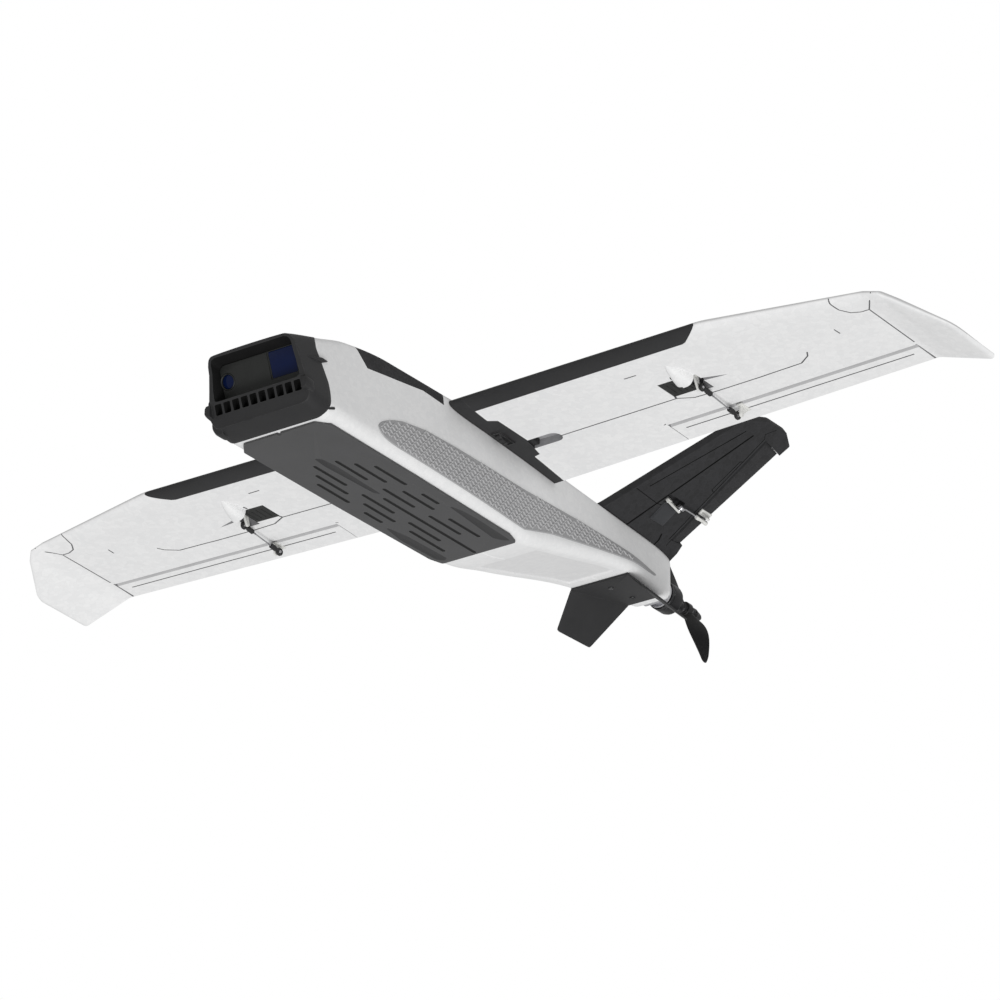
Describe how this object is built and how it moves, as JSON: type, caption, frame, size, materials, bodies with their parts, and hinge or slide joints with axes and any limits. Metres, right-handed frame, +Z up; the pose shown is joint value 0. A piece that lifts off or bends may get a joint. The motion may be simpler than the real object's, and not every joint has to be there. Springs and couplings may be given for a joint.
{
  "type": "fixed wing drone",
  "caption": "Foam fixed wing drone with straight drooped-tip wings, a V-tail, a rear pusher propeller, a nose camera bay and a flat skid plate.",
  "frame": {"origin": "middle of the bounding box at the underside of the skid plate", "axes": "+X towards the left wing tip, -Y towards the nose, +Z up"},
  "size_m": [1, 0.659, 0.19],
  "materials": {
    "white_foam": "matte",
    "black_foam": "matte",
    "black_plastic": "satin",
    "grey_plastic": "satin",
    "grip_grey": "matte",
    "dark_grey_plastic": "matte",
    "blue_glass": "gloss",
    "white_nylon": "satin",
    "servo_case": "gloss",
    "steel": "satin",
    "aluminium": "satin",
    "carbon": "gloss",
    "battery_wrap": "gloss",
    "strap_webbing": "matte",
    "circuit_board": "satin",
    "plywood": "matte",
    "motor_black": "satin",
    "copper": "satin",
    "prop_plastic": "gloss"
  },
  "bodies": {
    "airframe": {"fuselage_left": "white_foam", "fuselage_right": "white_foam", "grip_skin_left": "grip_grey", "grip_skin_right": "grip_grey", "skid_plate": "grey_plastic", "nose_cap": "black_plastic", "camera_face": "dark_grey_plastic", "vent_grille": "black_plastic", "camera_window": "blue_glass", "sensor_window": "blue_glass", "camera_module": "dark_grey_plastic", "equipment_tray": "plywood", "battery": "battery_wrap", "battery_strap": "strap_webbing", "flight_controller": "circuit_board", "speed_controller": "circuit_board", "main_spar": "carbon", "tail_plate": "black_plastic", "tail_plate_screws": "motor_black", "motor_mount": "aluminium", "motor_screws": "steel", "motor_stator": "copper", "tail_fin_left": "black_foam", "tail_fin_right": "black_foam", "tail_servo_left": "servo_case", "tail_servo_right": "servo_case"},
    "canopy": {"canopy": "black_foam"},
    "propeller": {"motor_bell": "motor_black", "propeller": "prop_plastic", "prop_nut": "motor_black"},
    "left_wing": {"wing_left": "white_foam", "edge_strip_left": "black_plastic", "root_rib_left": "black_plastic", "wing_plug_left": "black_plastic", "wing_servo_left": "servo_case", "servo_cover_left": "dark_grey_plastic"},
    "left_lock": {"wing_lock_left": "black_plastic"},
    "left_aileron": {"aileron_left": "white_foam", "aileron_horn_left": "white_nylon"},
    "left_servo_arm": {"servo_arm_left": "white_nylon"},
    "left_pushrod": {"pushrod_left": "black_plastic"},
    "left_ruddervator": {"ruddervator_left": "black_foam"},
    "left_tail_arm": {"tail_servo_arm_left": "white_nylon"},
    "left_tail_rod": {"tail_pushrod_left": "steel"},
    "right_wing": {"wing_right": "white_foam", "edge_strip_right": "black_plastic", "root_rib_right": "black_plastic", "wing_plug_right": "black_plastic", "wing_servo_right": "servo_case", "servo_cover_right": "dark_grey_plastic"},
    "right_lock": {"wing_lock_right": "black_plastic"},
    "right_aileron": {"aileron_right": "white_foam", "aileron_horn_right": "white_nylon"},
    "right_servo_arm": {"servo_arm_right": "white_nylon"},
    "right_pushrod": {"pushrod_right": "black_plastic"},
    "right_ruddervator": {"ruddervator_right": "black_foam"},
    "right_tail_arm": {"tail_servo_arm_right": "white_nylon"},
    "right_tail_rod": {"tail_pushrod_right": "steel"}
  },
  "joints": [
    {"name": "canopy_lift", "type": "slide", "parent": "airframe", "child": "canopy", "axis": [0, 0, 1], "range_m": [0, 0.06]},
    {"name": "propeller_spin", "type": "hinge", "parent": "airframe", "child": "propeller", "pos_m": [0, 0.268, 0.0655], "axis": [0, 1, 0], "continuous": true},
    {"name": "left_wing_slide", "type": "slide", "parent": "airframe", "child": "left_wing", "axis": [1, 0, 0], "range_m": [0, 0.15]},
    {"name": "left_lock_turn", "type": "hinge", "parent": "left_wing", "child": "left_lock", "pos_m": [0.0458, -0.037, 0.09], "axis": [1, 0, 0], "range_deg": [0, 90]},
    {"name": "left_aileron_hinge", "type": "hinge", "parent": "left_wing", "child": "left_aileron", "pos_m": [0.1814, 0.0225, 0.0895], "axis": [0.9998, -0.0087, 0.0175], "range_deg": [-25, 25]},
    {"name": "left_servo_arm_turn", "type": "hinge", "parent": "left_wing", "child": "left_servo_arm", "pos_m": [0.25034, -0.0301, 0.0962], "axis": [0.9998, -0.0087, 0.0175], "range_deg": [-25, 25]},
    {"name": "left_pushrod_pivot", "type": "hinge", "parent": "left_servo_arm", "child": "left_pushrod", "pos_m": [0.2506, -0.0246, 0.08371], "axis": [0.9998, -0.0087, 0.0175], "range_deg": [-25, 25]},
    {"name": "left_ruddervator_hinge", "type": "hinge", "parent": "airframe", "child": "left_ruddervator", "pos_m": [0.01771, 0.24, 0.09728], "axis": [0.8192, 0, 0.5736], "range_deg": [-25, 25]},
    {"name": "left_tail_arm_turn", "type": "hinge", "parent": "airframe", "child": "left_tail_arm", "pos_m": [0.05596, 0.2035, 0.12284], "axis": [0.8192, 0, 0.5736], "range_deg": [-25, 25]},
    {"name": "left_tail_rod_pivot", "type": "hinge", "parent": "left_tail_arm", "child": "left_tail_rod", "pos_m": [0.06313, 0.209, 0.1126], "axis": [0.8192, 0, 0.5736], "range_deg": [-25, 25]},
    {"name": "right_wing_slide", "type": "slide", "parent": "airframe", "child": "right_wing", "axis": [-1, 0, 0], "range_m": [0, 0.15]},
    {"name": "right_lock_turn", "type": "hinge", "parent": "right_wing", "child": "right_lock", "pos_m": [-0.0458, -0.037, 0.09], "axis": [1, 0, 0], "range_deg": [0, 90]},
    {"name": "right_aileron_hinge", "type": "hinge", "parent": "right_wing", "child": "right_aileron", "pos_m": [-0.1814, 0.0225, 0.0895], "axis": [0.9998, 0.0087, -0.0175], "range_deg": [-25, 25]},
    {"name": "right_servo_arm_turn", "type": "hinge", "parent": "right_wing", "child": "right_servo_arm", "pos_m": [-0.25034, -0.0301, 0.0962], "axis": [0.9998, 0.0087, -0.0175], "range_deg": [-25, 25]},
    {"name": "right_pushrod_pivot", "type": "hinge", "parent": "right_servo_arm", "child": "right_pushrod", "pos_m": [-0.2506, -0.0246, 0.08371], "axis": [0.9998, 0.0087, -0.0175], "range_deg": [-25, 25]},
    {"name": "right_ruddervator_hinge", "type": "hinge", "parent": "airframe", "child": "right_ruddervator", "pos_m": [-0.01771, 0.24, 0.09728], "axis": [0.8192, 0, -0.5736], "range_deg": [-25, 25]},
    {"name": "right_tail_arm_turn", "type": "hinge", "parent": "airframe", "child": "right_tail_arm", "pos_m": [-0.05596, 0.2035, 0.12284], "axis": [0.8192, 0, -0.5736], "range_deg": [-25, 25]},
    {"name": "right_tail_rod_pivot", "type": "hinge", "parent": "right_tail_arm", "child": "right_tail_rod", "pos_m": [-0.06313, 0.209, 0.1126], "axis": [0.8192, 0, -0.5736], "range_deg": [-25, 25]}
  ],
  "couplings": [
    {"joint": "left_servo_arm_turn", "follows": "left_aileron_hinge", "ratio": 1},
    {"joint": "left_pushrod_pivot", "follows": "left_aileron_hinge", "ratio": -1},
    {"joint": "left_tail_arm_turn", "follows": "left_ruddervator_hinge", "ratio": 1},
    {"joint": "left_tail_rod_pivot", "follows": "left_ruddervator_hinge", "ratio": -1},
    {"joint": "right_servo_arm_turn", "follows": "right_aileron_hinge", "ratio": 1},
    {"joint": "right_pushrod_pivot", "follows": "right_aileron_hinge", "ratio": -1},
    {"joint": "right_tail_arm_turn", "follows": "right_ruddervator_hinge", "ratio": 1},
    {"joint": "right_tail_rod_pivot", "follows": "right_ruddervator_hinge", "ratio": -1}
  ]
}
